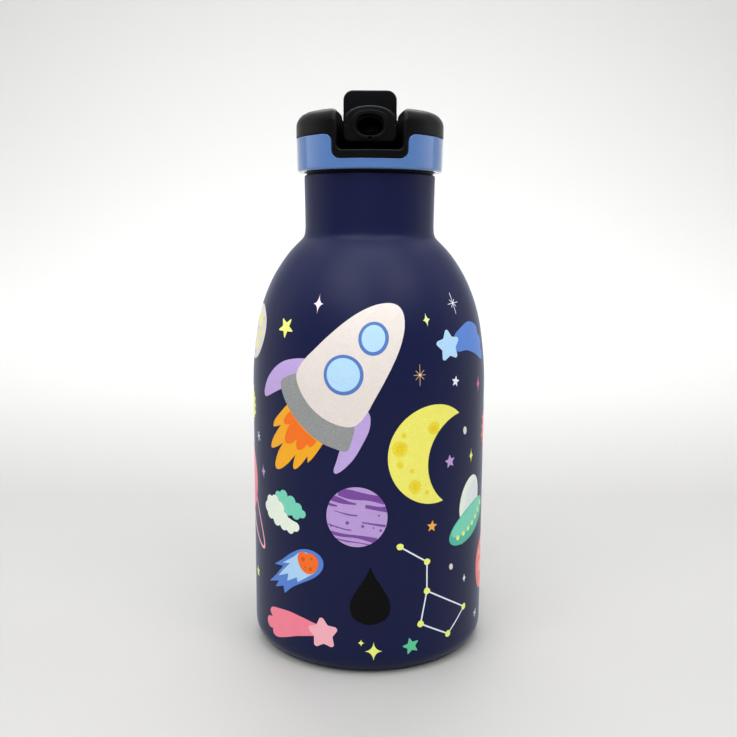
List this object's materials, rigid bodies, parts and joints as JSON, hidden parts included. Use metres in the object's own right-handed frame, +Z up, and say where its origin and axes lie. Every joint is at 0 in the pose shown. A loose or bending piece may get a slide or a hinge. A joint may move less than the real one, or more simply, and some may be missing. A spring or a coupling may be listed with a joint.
{
  "type": "kids water bottle",
  "caption": "Double-walled steel kids' bottle with a powder-coated printed body and a screw-in lid that carries a flip-up spout, thumb tab and straw.",
  "frame": {"origin": "centre of the ring that the base stands on, at the height of the surface it stands on", "axes": "+Z runs up through the neck; -Y is the front, where the spout's mouth points when it is folded down; +X is to the right of someone facing the front; +Y is behind, where the thumb tab folds"},
  "size_m": [0.0738, 0.0738, 0.1733],
  "materials": {
    "navy_coat": "fine-grained navy powder coat on stainless steel with a printed space pattern",
    "bare_steel": "turned and lightly brushed stainless steel",
    "pin_steel": "drawn stainless wire",
    "seal_glass": "fused grey solder-glass bead",
    "getter_alloy": "pressed grey metal powder",
    "blue_plastic": "gloss light blue moulded plastic",
    "black_plastic": "fine satin black moulded plastic",
    "black_silicone": "soft matt black silicone",
    "clear_plastic": "milky translucent plastic tube"
  },
  "bodies": {
    "bottle": {"outer_shell": "navy_coat", "inner_vessel": "bare_steel", "base_plate": "bare_steel", "vacuum_seal_bead": "seal_glass", "getter_tablet": "getter_alloy"},
    "lift_carrier": {"rim_gasket": "black_silicone"},
    "thread_carrier": {"plug_seal": "black_silicone"},
    "lid": {"collar_ring": "blue_plastic", "lid_cover": "black_plastic", "lid_base": "black_plastic", "port_seal": "black_silicone", "vent_valve": "black_silicone", "straw": "clear_plastic", "hinge_pin_left": "pin_steel", "hinge_pin_right": "pin_steel"},
    "spout": {"flip_spout": "black_plastic", "mouthpiece": "black_silicone"}
  },
  "joints": [
    {"name": "lid_lift_off", "type": "slide", "parent": "bottle", "child": "lift_carrier", "axis": [0, 0, 1], "range_m": [0, 0.15]},
    {"name": "thread_rise", "type": "slide", "parent": "lift_carrier", "child": "thread_carrier", "axis": [0, 0, 1], "range_m": [0, 0.00525]},
    {"name": "lid_turn", "type": "hinge", "parent": "thread_carrier", "child": "lid", "pos_m": [0, 0, 0.14], "axis": [0, 0, 1], "range_deg": [0, 540]},
    {"name": "spout_flip", "type": "hinge", "parent": "lid", "child": "spout", "pos_m": [0, 0.007, 0.161], "axis": [-1, 0, 0], "range_deg": [0, 90]}
  ],
  "couplings": [
    {"joint": "thread_rise", "follows": "lid_turn", "m_per_rad": 0.00055704}
  ]
}
